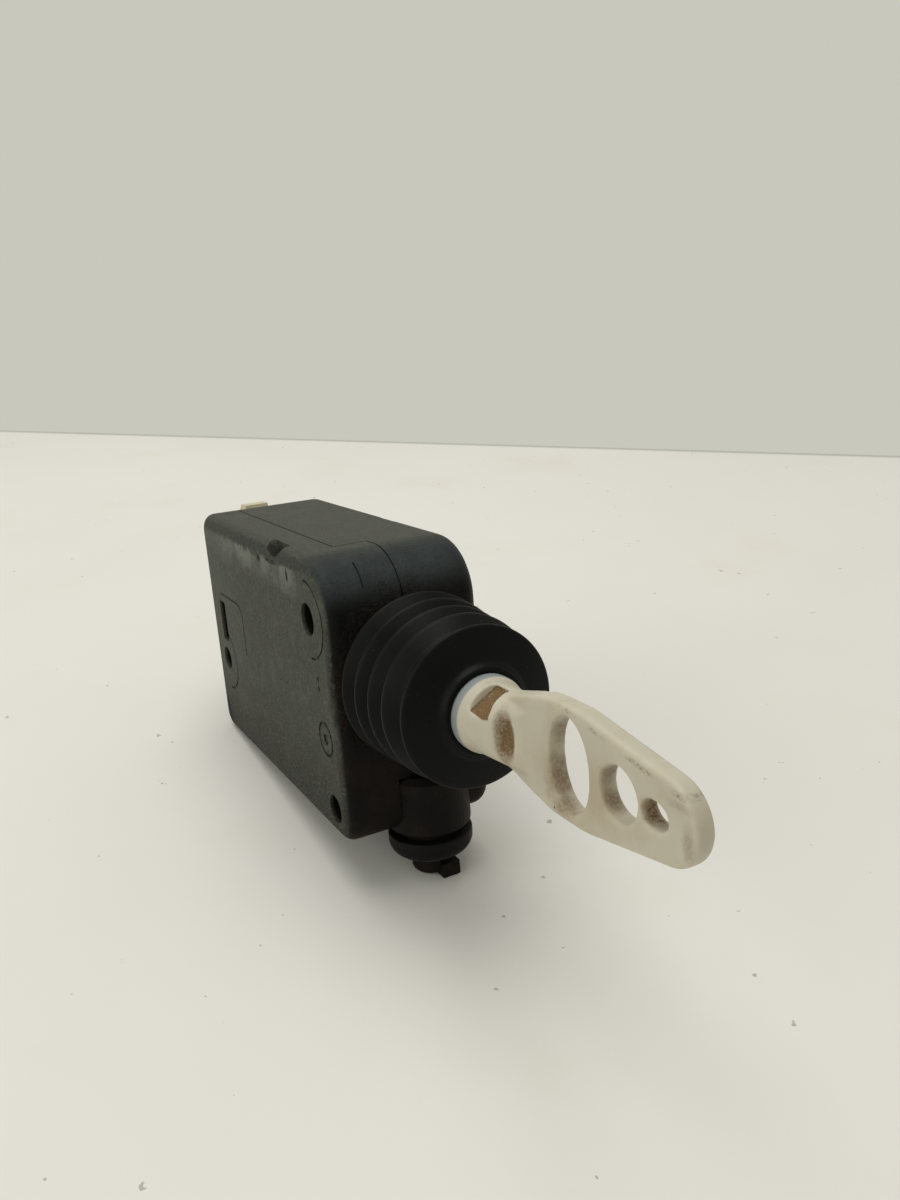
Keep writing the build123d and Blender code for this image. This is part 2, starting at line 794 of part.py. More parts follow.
with BuildPart() as connector_body:
    add(connector_form(0.0, connector_mouth_x, flange_x + 1))
    add(connector_form(-connector_flange, flange_x, flange_x + 1))
    add(connector_form(connector_wall, connector_mouth_x, connector_floor_x), mode=Mode.SUBTRACT)
    ramp_foot_z = connector_z + connector_height / 2 - lock_ramp_sink
    ramp_top_z = connector_z + connector_height / 2 + lock_ramp_height
    ramp_start_x = connector_mouth_x + lock_ramp_start
    ramp_crest_x = ramp_start_x + lock_ramp_rise
    ramp_end_x = ramp_crest_x + lock_ramp_flat
    with BuildSketch(Plane.XZ.offset(-connector_y - lock_ramp_width / 2)):
        with BuildLine():
            Polyline(
                (ramp_start_x, ramp_foot_z),
                (ramp_crest_x, ramp_top_z),
                (ramp_end_x, ramp_top_z),
                (ramp_end_x, ramp_foot_z),
                close=True,
            )
        make_face()
    extrude(amount=lock_ramp_width)
    add(connector_terminals.part, mode=Mode.SUBTRACT)
save(connector_body.part, "connector_body")

# ---- Strips that carry the supply from the blades down to the motor's end bell

strip_x = motor_x - can_flat_width / 2 - strip_drop_gap
bell_rear_x = motor_x - can_flat_width / 2
with BuildPart() as supply_strips:
    for spot_y, spot_z in terminal_spots:
        with BuildSketch(Plane.XZ.offset(-spot_y - strip_width / 2)):
            with BuildLine():
                Polyline(
                    (terminal_tail_x, spot_z),
                    (strip_x, spot_z),
                    (strip_x, can_bottom_z + strip_entry_rise),
                    (bell_rear_x - strip_thickness / 2, can_bottom_z + strip_entry_rise),
                )
            trace(line_width=strip_thickness)
        extrude(amount=strip_width)
    add(connector_terminals.part, mode=Mode.SUBTRACT)
save(supply_strips.part, "supply_strips")

# ---- Motor: flat-sided can, plastic end bell, two bushes, two magnets and two brushes

with BuildPart() as motor_can:
    with BuildSketch(Plane.XY.offset(can_rim_z)):
        add(motor_section(can_radius, can_flat_width))
    extrude(amount=can_top_z - can_rim_z)
    fillet(motor_can.faces().sort_by(Axis.Z)[-1].edges(), can_rounding)
    with BuildSketch(Plane.XY.offset(can_rim_z)):
        add(motor_section(can_radius - can_wall, can_flat_width - 2 * can_wall))
    extrude(amount=can_top_z - can_rim_z - can_wall, mode=Mode.SUBTRACT)
    with BuildSketch(Plane.XY.offset(can_top_z - can_wall)):
        with Locations((motor_x, motor_y)):
            Circle(bearing_radius + bearing_boss_wall)
    extrude(amount=bearing_length)
    with BuildSketch(Plane.XY.offset(can_top_z - can_wall)):
        with Locations((motor_x, motor_y)):
            Circle(bearing_radius)
    extrude(amount=bearing_length, mode=Mode.SUBTRACT)
save(motor_can.part, "motor_can")

with BuildPart() as motor_bearings:
    for level in (can_bottom_z, can_top_z - can_wall):
        with BuildSketch(Plane.XY.offset(level)):
            with Locations((motor_x, motor_y)):
                Circle(bearing_radius)
                Circle(motor_shaft_radius + motor_shaft_gap, mode=Mode.SUBTRACT)
        extrude(amount=bearing_length)
save(motor_bearings.part, "motor_bearings")

brush_z = can_rim_z + brush_rise
brush_inner = commutator_radius + brush_gap
brush_outer = brush_inner + brush_length
with BuildPart() as motor_end_bell:
    with BuildSketch(Plane.XY.offset(can_bottom_z)):
        add(motor_section(can_radius, can_flat_width))
    extrude(amount=end_bell_height)
    fillet(motor_end_bell.faces().sort_by(Axis.Z)[0].edges(), end_bell_rounding)
    with Locations((motor_x, motor_y, can_bottom_z + bearing_length / 2)):
        Cylinder(bearing_radius, bearing_length, mode=Mode.SUBTRACT)
save(motor_end_bell.part, "motor_end_bell")

with BuildPart() as brush_arms:
    for side in (-1, 1):
        arm_x = motor_x + side * (brush_outer + brush_arm_thickness / 2)
        with BuildSketch(Plane.XY.offset(can_rim_z)):
            with Locations((arm_x, motor_y)):
                Rectangle(brush_arm_thickness, brush_width)
        extrude(amount=brush_z + brush_width - can_rim_z)
save(brush_arms.part, "brush_arms")

with BuildPart() as motor_brushes:
    with BuildSketch(Plane.XY.offset(brush_z)):
        with Locations((motor_x, motor_y)):
            Rectangle(2 * brush_outer, brush_width)
            Circle(brush_inner, mode=Mode.SUBTRACT)
    extrude(amount=brush_width)
save(motor_brushes.part, "motor_brushes")

magnet_inner = core_radius + magnet_air_gap
magnet_bottom = can_top_z - can_wall - magnet_drop - magnet_height
with BuildPart() as motor_magnets:
    with BuildSketch(Plane.XY.offset(magnet_bottom)):
        with Locations((motor_x, motor_y)):
            Circle(can_radius - can_wall)
            Circle(magnet_inner, mode=Mode.SUBTRACT)
            magnet_half_width = (can_radius - can_wall) * sin(radians(magnet_half_angle))
            Rectangle(2 * magnet_half_width, 4 * can_radius, mode=Mode.INTERSECT)
    extrude(amount=magnet_height)
save(motor_magnets.part, "motor_magnets")

# ---- Armature: shaft, three-pole core, windings, commutator and pinion

core_bottom = magnet_bottom + (magnet_height - core_height) / 2
shaft_bottom = can_bottom_z + shaft_end_gap
shaft_top = wheel_top + shaft_overrun
with BuildPart() as motor_shaft:
    with BuildSketch(Plane.XY.offset(shaft_bottom)):
        with Locations((motor_x, motor_y)):
            Circle(motor_shaft_radius)
    extrude(amount=shaft_top - shaft_bottom)
    chamfer(motor_shaft.edges().filter_by(GeomType.CIRCLE), shaft_chamfer)
save(motor_shaft.part, "motor_shaft")


def slot_section(shrink):
    """The three winding slots of the core: round pockets, set in by a gap."""
    slot_centre = core_radius - slot_mouth - slot_half_width
    with BuildSketch() as section:
        with Locations((motor_x, motor_y)):
            with PolarLocations(slot_centre, core_slots):
                Circle(slot_half_width - shrink)
    return section.sketch


with BuildPart() as armature_core:
    with BuildSketch(Plane.XY.offset(core_bottom)):
        with Locations((motor_x, motor_y)):
            Circle(core_radius)
            Circle(motor_shaft_radius, mode=Mode.SUBTRACT)
            with PolarLocations(core_radius - slot_mouth / 2, core_slots):
                Rectangle(2 * slot_mouth, slot_mouth, mode=Mode.SUBTRACT)
        add(slot_section(0.0), mode=Mode.SUBTRACT)
    extrude(amount=core_height)
save(armature_core.part, "armature_core")

with BuildPart() as armature_windings:
    with BuildSketch(Plane.XY.offset(core_bottom - winding_overhang)):
        add(slot_section(winding_gap))
    extrude(amount=core_height + 2 * winding_overhang)
    chamfer(armature_windings.edges().filter_by(GeomType.CIRCLE), winding_chamfer)
save(armature_windings.part, "armature_windings")

commutator_bottom = brush_z - (commutator_height - brush_width) / 2
with BuildPart() as commutator:
    with BuildSketch(Plane.XY.offset(commutator_bottom)):
        with Locations((motor_x, motor_y)):
            Circle(commutator_radius)
            Circle(motor_shaft_radius, mode=Mode.SUBTRACT)
            with PolarLocations(commutator_radius, core_slots):
                Rectangle(2 * commutator_slot_depth, commutator_slot_width, mode=Mode.SUBTRACT)
    extrude(amount=commutator_height)
save(commutator.part, "commutator")

# ---- Gears and rack: involute flanks above the base circle, radial below it


def tooth_outline(teeth, module, addendum_share):
    """One tooth on the local X axis, from inside the root circle out to its tip."""
    pitch = teeth * module / 2
    base = pitch * cos(radians(pressure_angle))
    root = pitch - dedendum_share * module
    tip = pitch + addendum_share * module
    half_angle = pi / (2 * teeth) - backlash / (2 * pitch)
    widest = half_angle + tan(radians(pressure_angle)) - radians(pressure_angle)
    flank = [(root - tooth_sink, widest)]
    for step in range(flank_steps + 1):
        radius = max(base, root) + (tip - max(base, root)) * step / flank_steps
        roll = acos(min(base / radius, 1.0))
        flank.append((radius, widest - (tan(roll) - roll)))
    upper = [(radius * cos(angle), radius * sin(angle)) for radius, angle in flank]
    lower = [(x, -y) for x, y in reversed(upper)]
    return upper + lower


def gear_section(teeth, module, addendum_share, first_angle):
    """A whole gear's section, with a tooth at first_angle from the X axis."""
    with BuildSketch() as section:
        Circle(teeth * module / 2 - dedendum_share * module)
        with PolarLocations(0, teeth, start_angle=first_angle):
            Polygon(*tooth_outline(teeth, module, addendum_share), align=None)
    return section.sketch


with BuildPart() as drive_gear:
    gear_plane = Plane((gear_axis_x, gear_axis_y, wheel_bottom))
    with BuildSketch(gear_plane):
        add(gear_section(wheel_teeth, train_module, stub_share, 180.0))
    extrude(amount=wheel_thickness)
    with BuildSketch(gear_plane.offset(wheel_thickness)):
        Circle(wheel_radius - wheel_rim)
        Circle(axle_boss_radius + wheel_hub_ring, mode=Mode.SUBTRACT)
    extrude(amount=-wheel_recess, mode=Mode.SUBTRACT)
    with BuildSketch(gear_plane.offset(-wheel_bottom - rack_half_width)):
        add(gear_section(small_gear_teeth, rack_module, full_addendum_share, 90.0))
    extrude(amount=2 * rack_half_width)
    with BuildSketch(gear_plane.offset(-wheel_bottom - rack_half_width - hub_overrun)):
        Circle(small_gear_radius - dedendum_share * rack_module - hub_step)
    extrude(amount=wheel_bottom + rack_half_width + hub_overrun)
    with BuildSketch(gear_plane.offset(-wheel_bottom - rack_half_width - hub_overrun)):
        Circle(axle_radius + axle_gap)
    extrude(amount=wheel_top + rack_half_width + hub_overrun, mode=Mode.SUBTRACT)
save(drive_gear.part, "drive_gear")

with BuildPart() as motor_pinion:
    pinion_plane = Plane((motor_x, motor_y, wheel_bottom - pinion_overrun))
    half_pitch_angle = 180.0 / pinion_teeth
    with BuildSketch(pinion_plane):
        add(gear_section(pinion_teeth, train_module, full_addendum_share, half_pitch_angle))
        Circle(motor_shaft_radius, mode=Mode.SUBTRACT)
    extrude(amount=wheel_thickness + 2 * pinion_overrun)
save(motor_pinion.part, "motor_pinion")

with BuildPart() as gear_axle:
    with BuildSketch(Plane.XY.offset(axle_low)):
        with Locations((gear_axis_x, gear_axis_y)):
            Circle(axle_radius)
    extrude(amount=axle_high - axle_low)
    chamfer(gear_axle.edges().filter_by(GeomType.CIRCLE), axle_chamfer)
save(gear_axle.part, "gear_axle")

rack_pitch = pi * rack_module
tooth_half = rack_pitch / 4 - backlash / 2
flank_slope = tan(radians(pressure_angle))
tip_half = tooth_half - (rack_pitch_y - rack_tip_y) * flank_slope
foot_half = tooth_half + (rack_root_y - rack_pitch_y) * flank_slope
rack_teeth_centre_x = gear_axis_x + rack_pitch / 2 * (rack_tooth_gaps % 2 == 0)
with BuildPart() as rack:
    with BuildSketch(Plane.XY.offset(-rack_half_width)):
        with Locations((rack_rear_x, rack_root_y)):
            Rectangle(rack_head_rear_x + 1 - rack_rear_x, rack_bar_depth,
                      align=(Align.MIN, Align.MIN))
        with Locations((rack_teeth_centre_x, 0)):
            with GridLocations(rack_pitch, 0, rack_tooth_gaps + 1, 1):
                Polygon(
                    (-foot_half, rack_root_y),
                    (-tip_half, rack_tip_y),
                    (tip_half, rack_tip_y),
                    (foot_half, rack_root_y),
                    align=None,
                )
    extrude(amount=2 * rack_half_width)
    head_depth = rack_back_y + rack_head_side
    with BuildSketch(Plane.XY.offset(-rack_head_half_height)):
        with Locations((rack_head_rear_x, -rack_head_side)):
            Rectangle(rack_head_length, head_depth, align=(Align.MIN, Align.MIN))
    extrude(amount=2 * rack_head_half_height)
    head_rims = rack.faces().sort_by(Axis.X)[-1].edges()
    chamfer(head_rims, head_chamfer)
    add(bar_along_x(rod_radius, rod_tail_x, 0), mode=Mode.SUBTRACT)
    with Locations((rod_pin_x, 0, 0)):
        Cylinder(rod_pin_radius, 4 * rack_head_half_height, mode=Mode.SUBTRACT)
save(rack.part, "rack")

# ---- Rod and the pin that locks it in the rack's head

with BuildPart() as push_rod:
    add(bar_along_x(rod_radius, rod_tail_x, rod_nose_x))
    chamfer(push_rod.edges().filter_by(GeomType.CIRCLE), rod_chamfer)
    with Locations((rod_pin_x, 0, 0)):
        Cylinder(rod_pin_radius, 4 * rod_radius, mode=Mode.SUBTRACT)
save(push_rod.part, "push_rod")

with BuildPart() as rod_pin:
    with Locations((rod_pin_x, 0, 0)):
        Cylinder(rod_pin_radius, 2 * rack_head_half_height)
    chamfer(rod_pin.edges().filter_by(GeomType.CIRCLE), pin_chamfer)
save(rod_pin.part, "rod_pin")

# ---- Link end: a round collar that runs out into a flat blade with three windows


def blade_outline():
    """The blade's side outline in X and Z: a hull round two circles and the neck's end."""
    with BuildSketch() as outline:
        with Locations((blade_shoulder_x, 0), (blade_wide_x, 0)):
            Circle(blade_wide_radius)
        with Locations((blade_tip_centre_x, 0)):
            Circle(blade_tip_radius)
        with Locations((blade_root_x, 0)):
            Rectangle(1, 2 * blade_root_half_height)
        make_hull()
    return outline.sketch


with BuildPart() as end_fitting:
    with BuildSketch(Plane.XZ.offset(-blade_thickness / 2)):
        add(blade_outline())
    extrude(amount=blade_thickness)
    fillet(end_fitting.faces().sort_by(Axis.Y)[0].edges(), blade_edge_radius)
    fillet(end_fitting.faces().sort_by(Axis.Y)[-1].edges(), blade_edge_radius)
    with BuildSketch(Plane.XZ.offset(-blade_thickness / 2)) as windows:
        with Locations((window_one_x, 0)):
            Ellipse(*window_one_half)
        with Locations((window_two_x, 0)):
            Ellipse(*window_two_half)
        with Locations((window_three_x, 0)):
            Ellipse(*window_three_half)
    extrude(amount=blade_thickness, mode=Mode.SUBTRACT)
    with BuildSketch(Plane.YZ.offset(collar_shoulder_x)):
        round_side = 2 * collar_shoulder_radius
        RectangleRounded(round_side, round_side, collar_shoulder_radius - section_gap)
    with BuildSketch(Plane.YZ.offset(neck_end_x)):
        RectangleRounded(blade_thickness, 2 * neck_half_height, blade_thickness / 2 - section_gap)
    loft()
    for side in (-1, 1):
        scallop_y = side * (scallop_floor_y + scallop_radius)
        with Locations(Location((scallop_x, scallop_y, 0), (0, 90, 0))):
            Torus(scallop_radius - scallop_tube, scallop_tube, mode=Mode.SUBTRACT)
    pocket_plane = Plane(
        origin=(neck_pocket_x, 0, 0),
        x_dir=(1, 0, 0),
        z_dir=(0, -sin(radians(neck_pocket_angle)), cos(radians(neck_pocket_angle))),
    )
    with BuildSketch(pocket_plane.offset(neck_pocket_floor)):
        RectangleRounded(neck_pocket_length, neck_pocket_width, neck_pocket_rounding)
    extrude(amount=neck_pocket_width, mode=Mode.SUBTRACT)
    with BuildSketch():
        with BuildLine():
            groove_end_x = boot_groove_x + boot_groove_width
            shank_radius = collar_radius - shank_step
            Polyline(
                (fitting_tail_x, 0),
                (fitting_tail_x, shank_radius),
                (boot_groove_x - shoulder_run - shank_run, shank_radius),
                (boot_groove_x - shoulder_run, collar_radius),
                (boot_groove_x, collar_radius),
                (boot_groove_x, collar_radius - boot_groove_depth),
                (groove_end_x, collar_radius - boot_groove_depth),
                (groove_end_x, collar_radius),
                (collar_front_x, collar_radius),
                (collar_shoulder_x, collar_shoulder_radius),
                (collar_shoulder_x, 0),
                close=True,
            )
        make_face()
    revolve(axis=Axis.X)
    add(bar_along_x(rod_radius, fitting_tail_x - 1, rod_nose_x), mode=Mode.SUBTRACT)
save(end_fitting.part, "end_fitting")

# ---- Rubber stops at both ends of the stroke

with BuildPart() as travel_bumpers:
    with BuildSketch(Plane.YZ.offset(-bush_length_inside - bumper_length)):
        Circle(bush_radius)
        Circle(rod_radius + bumper_rod_gap, mode=Mode.SUBTRACT)
    extrude(amount=bumper_length)
    with BuildSketch(Plane.YZ.offset(rear_stop_x)):
        with Locations(((rack_root_y + rack_back_y) / 2, -bumper_drop)):
            pad_height = 2 * (rack_half_width - bumper_drop - bumper_inset)
            RectangleRounded(rack_bar_depth - 2 * bumper_inset, pad_height, bumper_rounding)
    extrude(amount=bumper_length)
save(travel_bumpers.part, "travel_bumpers")
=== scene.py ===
import bmesh
import bpy
import numpy as np
from mathutils import Matrix, Vector


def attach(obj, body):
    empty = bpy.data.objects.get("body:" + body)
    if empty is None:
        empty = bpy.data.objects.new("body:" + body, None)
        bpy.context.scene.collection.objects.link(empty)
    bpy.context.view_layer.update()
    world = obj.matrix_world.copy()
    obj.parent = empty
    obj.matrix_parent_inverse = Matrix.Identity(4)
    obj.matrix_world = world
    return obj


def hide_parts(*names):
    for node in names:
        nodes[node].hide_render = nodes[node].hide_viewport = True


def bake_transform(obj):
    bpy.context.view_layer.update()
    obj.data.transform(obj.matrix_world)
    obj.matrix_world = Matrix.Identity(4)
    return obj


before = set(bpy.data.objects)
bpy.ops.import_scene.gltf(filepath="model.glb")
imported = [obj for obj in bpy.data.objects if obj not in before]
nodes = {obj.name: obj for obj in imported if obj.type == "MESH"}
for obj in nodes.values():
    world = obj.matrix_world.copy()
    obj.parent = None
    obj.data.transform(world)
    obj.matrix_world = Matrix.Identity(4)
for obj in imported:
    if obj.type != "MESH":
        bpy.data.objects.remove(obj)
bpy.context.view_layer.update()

# View: the camera stands a little above the link end, to its right, and looks back along the
# actuator towards the rear of the case.
camera = bpy.data.objects.new("view_camera", bpy.data.cameras.new("view_camera"))
bpy.context.scene.collection.objects.link(camera)
bpy.context.scene.camera = camera
sensor_mm, lens_mm = 36.0, 30.0
nearest_seen, farthest_seen = 0.01, 20.0
camera_place = (0.1668, -0.0774, 0.0620)
camera.data.sensor_width = sensor_mm
camera.data.lens = lens_mm
camera.data.clip_start = nearest_seen
camera.data.clip_end = farthest_seen
camera_right = Vector((0.474, 0.878, -0.073)).normalized()
camera_back = Vector((0.860, -0.443, 0.253)).normalized()
camera_up = camera_back.cross(camera_right).normalized()
camera_right = camera_up.cross(camera_back)
turn = Matrix((camera_right, camera_up, camera_back)).transposed().to_4x4()
camera.matrix_world = Matrix.Translation(camera_place) @ turn

# Case halves: two mouldings in black glass-filled plastic, parted along a stepped seam. The
# flank is dusty and rubbed grey, and grease has dried brown round the front opening. The nose
# carries a painted bluish sheen, and the flank is painted darker towards its bottom as shade.


def new_material(name):
    """An empty node material and its Principled shader."""
    material = bpy.data.materials.new(name)
    material.use_nodes = True
    tree = material.node_tree
    tree.nodes.clear()
    output = tree.nodes.new("ShaderNodeOutputMaterial")
    shader = tree.nodes.new("ShaderNodeBsdfPrincipled")
    tree.links.new(shader.outputs["BSDF"], output.inputs["Surface"])
    return material, tree, shader


def linear(r, g, b):
    """A colour as written in a paint chart (0 to 255) turned into linear light."""
    share = np.array([r, g, b]) / 255.0
    low = share / 12.92
    high = ((share + 0.055) / 1.055) ** 2.4
    return (*np.where(share <= 0.04045, low, high).tolist(), 1.0)


def position(tree):
    """The point on the piece, in metres, in the frame that every piece shares."""
    return tree.nodes.new("ShaderNodeTexCoord").outputs["Object"]


def noise(tree, scale, detail=3.0, rough=0.55, stretch=(1, 1, 1), shift=(0, 0, 0)):
    """A cloudy value between 0 and 1, with so many clouds to the metre along each axis."""
    mapping = tree.nodes.new("ShaderNodeMapping")
    mapping.inputs["Scale"].default_value = stretch
    mapping.inputs["Location"].default_value = shift
    tree.links.new(position(tree), mapping.inputs["Vector"])
    texture = tree.nodes.new("ShaderNodeTexNoise")
    texture.inputs["Scale"].default_value = scale
    texture.inputs["Detail"].default_value = detail
    texture.inputs["Roughness"].default_value = rough
    tree.links.new(mapping.outputs["Vector"], texture.inputs["Vector"])
    return texture.outputs["Fac"]


def math(tree, kind, a, b=0.0, c=0.0):
    """One sum on two or three values, each a number or another node's output."""
    node = tree.nodes.new("ShaderNodeMath")
    node.operation = kind
    for socket, value in zip(node.inputs, (a, b, c)):
        if isinstance(value, (int, float)):
            socket.default_value = value
        else:
            tree.links.new(value, socket)
    return node.outputs["Value"]


def product(tree, *values):
    """All the given values multiplied together."""
    total = values[0]
    for value in values[1:]:
        total = math(tree, "MULTIPLY", total, value)
    return total


def length(tree, first, second):
    """The length of the line whose two legs are given."""
    squares = math(tree, "ADD", product(tree, first, first), product(tree, second, second))
    return math(tree, "SQRT", squares)


def ramp(tree, value, low, high, start=0.0, end=1.0):
    """A smooth step: start below low, end above high."""
    node = tree.nodes.new("ShaderNodeMapRange")
    node.interpolation_type = "SMOOTHSTEP"
    node.inputs["From Min"].default_value = low
    node.inputs["From Max"].default_value = high
    node.inputs["To Min"].default_value = start
    node.inputs["To Max"].default_value = end
    tree.links.new(value, node.inputs["Value"])
    return node.outputs["Result"]


def axes(tree):
    """The point's X, Y and Z as three values."""
    split = tree.nodes.new("ShaderNodeSeparateXYZ")
    tree.links.new(position(tree), split.inputs["Vector"])
    return split.outputs["X"], split.outputs["Y"], split.outputs["Z"]


def mixed(tree, share, first, second):
    """A colour between two, each a fixed colour or another node's output."""
    node = tree.nodes.new("ShaderNodeMix")
    node.data_type = "RGBA"
    if isinstance(share, (int, float)):
        node.inputs[0].default_value = share
    else:
        tree.links.new(share, node.inputs[0])
    for socket, colour in ((node.inputs[6], first), (node.inputs[7], second)):
        if isinstance(colour, tuple):
            socket.default_value = colour
        else:
            tree.links.new(colour, socket)
    return node.outputs[2]


def spot(tree, centre, sizes, soft=0.5, ragged=0.0, ragged_scale=400.0):
    """1 inside a soft ellipsoid about a point in metres, 0 outside, its edge broken up by noise."""
    x, y, z = axes(tree)
    total = None
    for value, middle, size in zip((x, y, z), centre, sizes):
        part = product(tree, math(tree, "SUBTRACT", value, middle), 1.0 / size)
        part = product(tree, part, part)
        total = part if total is None else math(tree, "ADD", total, part)
    distance = math(tree, "SQRT", total)
    if ragged:
        cloud = noise(tree, ragged_scale, 5.0, 0.65)
        lift = product(tree, math(tree, "SUBTRACT", cloud, 0.5), 2.0 * ragged)
        distance = math(tree, "ADD", distance, lift)
    return ramp(tree, distance, 1.0 - soft, 1.0, 1.0, 0.0)


def relief(tree, shader, height, depth):
    """Raises and lowers the surface's shading by a height of so many metres."""
    bump = tree.nodes.new("ShaderNodeBump")
    bump.inputs["Strength"].default_value = 1.0
    bump.inputs["Distance"].default_value = depth
    tree.links.new(height, bump.inputs["Height"])
    tree.links.new(bump.outputs["Normal"], shader.inputs["Normal"])


def dress(name, material):
    """Gives one node of the model its material in every slot."""
    mesh = nodes[name].data
    mesh.materials.clear()
    mesh.materials.append(material)


case_plastic, tree, shader = new_material("case_plastic")
x, y, z = axes(tree)
mottle = noise(tree, 95.0, 6.0, 0.62)
smears = noise(tree, 230.0, 5.0, 0.62)
fine = noise(tree, 1500.0, 4.0, 0.65)
on_flank = ramp(tree, y, -0.0162, -0.0170)
on_top = product(tree, ramp(tree, z, 0.0212, 0.0234), ramp(tree, x, -0.0050, -0.0150))
on_nose_sheen = product(tree, ramp(tree, x, -0.0200, -0.0060), ramp(tree, z, 0.0140, 0.0210))
dark = mixed(tree, mottle, linear(5, 5, 4), linear(12, 12, 10))
aged = mixed(tree, mottle, linear(34, 35, 32), linear(52, 53, 48))
# Painted sheen: the rounded nose takes a lighter bluish tone that stands in for the reflection band
# along its curve.
nose_sheen = mixed(tree, smears, linear(28, 31, 32), linear(58, 64, 64))
topside = mixed(tree, mottle, linear(50, 51, 45), linear(72, 73, 65))
dust_and_shade = mixed(tree, mottle, linear(50, 52, 46), linear(72, 74, 66))
dust_and_shade = mixed(tree, product(tree, ramp(tree, smears, 0.45, 0.72), 0.4), dust_and_shade,
              linear(86, 88, 80))
# Lighter towards the rear of the flank.
dust_and_shade = mixed(tree, ramp(tree, x, -0.0450, -0.0820, 0.0, 0.35), dust_and_shade, linear(92, 94, 84))
# Painted shade: the flank is darkened towards its bottom edge, where less light falls on it.
dust_and_shade = mixed(tree, ramp(tree, z, -0.0080, -0.0320, 0.0, 0.85), dust_and_shade, linear(42, 43, 37))
scuff_cloud = ramp(tree, noise(tree, 420.0, 5.0, 0.7), 0.3, 0.7, -0.0010, 0.0010)
scuff_edge = math(tree, "ADD", z, scuff_cloud)
scuffed = product(tree, ramp(tree, scuff_edge, 0.0205, 0.0201),
                  ramp(tree, scuff_edge, 0.0135, 0.0190), ramp(tree, mottle, 0.30, 0.55),
                  ramp(tree, x, -0.0120, -0.0200), ramp(tree, x, -0.0740, -0.0560, 0.25, 1.0))
dust_and_shade = mixed(tree, product(tree, scuffed, 0.7), dust_and_shade, linear(116, 118, 110))
chips = (((-0.0375, -0.0172, 0.0199), (0.0016, 0.002, 0.0011)),
         ((-0.0199, -0.0172, 0.0190), (0.0008, 0.002, 0.0017)),
         ((-0.0290, -0.0172, 0.0203), (0.0040, 0.002, 0.0006)),
         ((-0.0820, -0.0172, -0.0290), (0.0050, 0.002, 0.0060)))
for centre, sizes in chips:
    chip = spot(tree, centre, sizes, 0.4, 0.5, 900.0)
    dust_and_shade = mixed(tree, chip, dust_and_shade, linear(26, 27, 24))
rim_shade = ramp(tree, z, 0.0203, 0.0214, 0.0, 0.55)
dust_and_shade = mixed(tree, rim_shade, dust_and_shade, linear(40, 42, 38))
stamp_x, stamp_z, stamp_ring_radius = -0.0072, -0.0118, 0.0031
stamp_radius = length(tree, math(tree, "SUBTRACT", x, stamp_x), math(tree, "SUBTRACT", z, stamp_z))
off_ring = math(tree, "ABSOLUTE", math(tree, "SUBTRACT", stamp_radius, stamp_ring_radius))
stamp_ring = ramp(tree, off_ring, 0.0008, 0.0004)
stamp_dirt = math(tree, "MAXIMUM", stamp_ring, ramp(tree, stamp_radius, 0.0016, 0.0011))
stamp_dirt = product(tree, stamp_dirt, ramp(tree, fine, 0.38, 0.58))
dust_and_shade = mixed(tree, product(tree, stamp_dirt, 0.7), dust_and_shade, linear(30, 31, 27))
on_far_side = math(tree, "MAXIMUM", ramp(tree, y, 0.0128, 0.0150),
                   ramp(tree, x, -0.0815, -0.0838))
base = mixed(tree, on_far_side, dark, aged)
base = mixed(tree, on_nose_sheen, base, nose_sheen)
base = mixed(tree, on_top, base, topside)
base = mixed(tree, on_flank, base, dust_and_shade)
speck = ramp(tree, noise(tree, 1700.0, 3.0, 0.6), 0.50, 0.68)
pits = ramp(tree, noise(tree, 1300.0, 3.0, 0.6, shift=(3, 1, 2)), 0.52, 0.70)
speck_share = product(tree, speck, math(tree, "MAXIMUM", on_flank, on_top))
base = mixed(tree, product(tree, speck_share, 0.30), base, linear(112, 114, 104))
base = mixed(tree, product(tree, pits, 0.30), base, linear(14, 14, 12))
crust_cloud = ramp(tree, noise(tree, 260.0, 5.0, 0.7), 0.3, 0.7, -0.0022, 0.0022)
crust_radius = math(tree, "ADD", length(tree, y, z), crust_cloud)
near_boot = product(tree, ramp(tree, crust_radius, 0.0190, 0.0160),
                    ramp(tree, y, 0.0080, -0.0020, 0.25, 1.0))
at_front = ramp(tree, x, -0.0040, -0.0008)
crumbs = ramp(tree, noise(tree, 1300.0, 6.0, 0.75), 0.40, 0.62)
crust = product(tree, near_boot, at_front, crumbs)
base = mixed(tree, product(tree, crust, 0.8), base, linear(50, 39, 29))
below = product(tree, ramp(tree, z, -0.008, -0.020), at_front, ramp(tree, mottle, 0.35, 0.65))
base = mixed(tree, product(tree, below, 0.35), base, linear(46, 32, 24))
pocket_dirt = spot(tree, (-0.0280, -0.0158, 0.0226), (0.0058, 0.0016, 0.0017), 0.3, 0.2, 600.0)
base = mixed(tree, product(tree, pocket_dirt, 0.8), base, linear(26, 19, 13))
tree.links.new(base, shader.inputs["Base Color"])
rough = math(tree, "ADD", ramp(tree, mottle, 0.2, 0.8, 0.44, 0.60),
             product(tree, on_flank, 0.12))
tree.links.new(rough, shader.inputs["Roughness"])
shader.inputs["Specular IOR Level"].default_value = 0.1
height = math(tree, "ADD", product(tree, noise(tree, 2600.0, 4.0, 0.6), 0.6),
              product(tree, fine, 0.6))
height = math(tree, "ADD", height, product(tree, crust, 1.6))
grain_depth = 0.00022
relief(tree, shader, height, grain_depth)
dress("main_case", case_plastic)
dress("cover", case_plastic)

# Motor, standing in its cradle: zinc-plated can, black end bell, ferrite magnets, sintered
# bronze bearings, carbon brushes on tinned arms, and the wound armature on its steel shaft.


